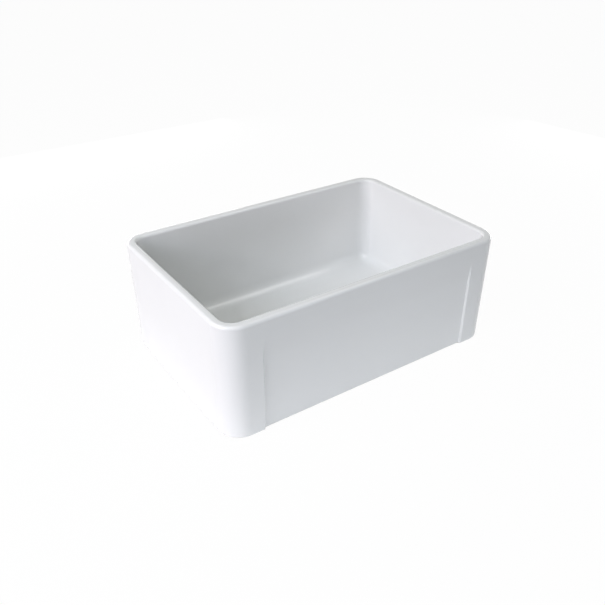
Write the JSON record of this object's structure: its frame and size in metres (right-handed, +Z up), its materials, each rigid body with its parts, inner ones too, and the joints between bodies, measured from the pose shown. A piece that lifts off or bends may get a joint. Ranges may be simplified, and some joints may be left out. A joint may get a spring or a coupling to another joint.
{
  "type": "apron front sink",
  "caption": "Single-bowl farmhouse kitchen sink in white glazed fireclay with an apron front, a shallow apron panel and a basket strainer that lifts out of its drain.",
  "frame": {"origin": "where the drain's vertical axis meets the plane of the basin's underside, which rests on the cabinet", "axes": "+X to the right along the apron, -Y out of the apron towards the user, +Z up out of the bowl"},
  "size_m": [0.686, 0.457, 0.409],
  "materials": {
    "fireclay": "white gloss glaze over fired clay",
    "polished_steel": "polished stainless steel",
    "zinc": "dull die-cast zinc",
    "brass": "turned brass",
    "rubber": "black moulded rubber",
    "putty": "set sealing putty, matt",
    "fibre": "pressed fibre board",
    "nylon": "natural white nylon"
  },
  "bodies": {
    "sink": {"fireclay_basin": "fireclay", "flange_putty": "putty", "strainer_body": "polished_steel", "post_guide": "polished_steel", "sink_gasket": "rubber", "friction_ring": "fibre", "locknut": "zinc", "coupling_washer": "nylon", "tailpiece": "polished_steel", "coupling_nut": "brass"},
    "basket": {"basket_cup": "polished_steel", "basket_post": "polished_steel", "basket_knob": "polished_steel", "stopper_seal": "rubber", "seal_washer": "polished_steel", "stem_nut": "brass", "detent_clip": "polished_steel"}
  },
  "joints": [
    {"name": "basket_lift", "type": "slide", "parent": "sink", "child": "basket", "axis": [0, 0, 1], "range_m": [0, 0.3]}
  ]
}
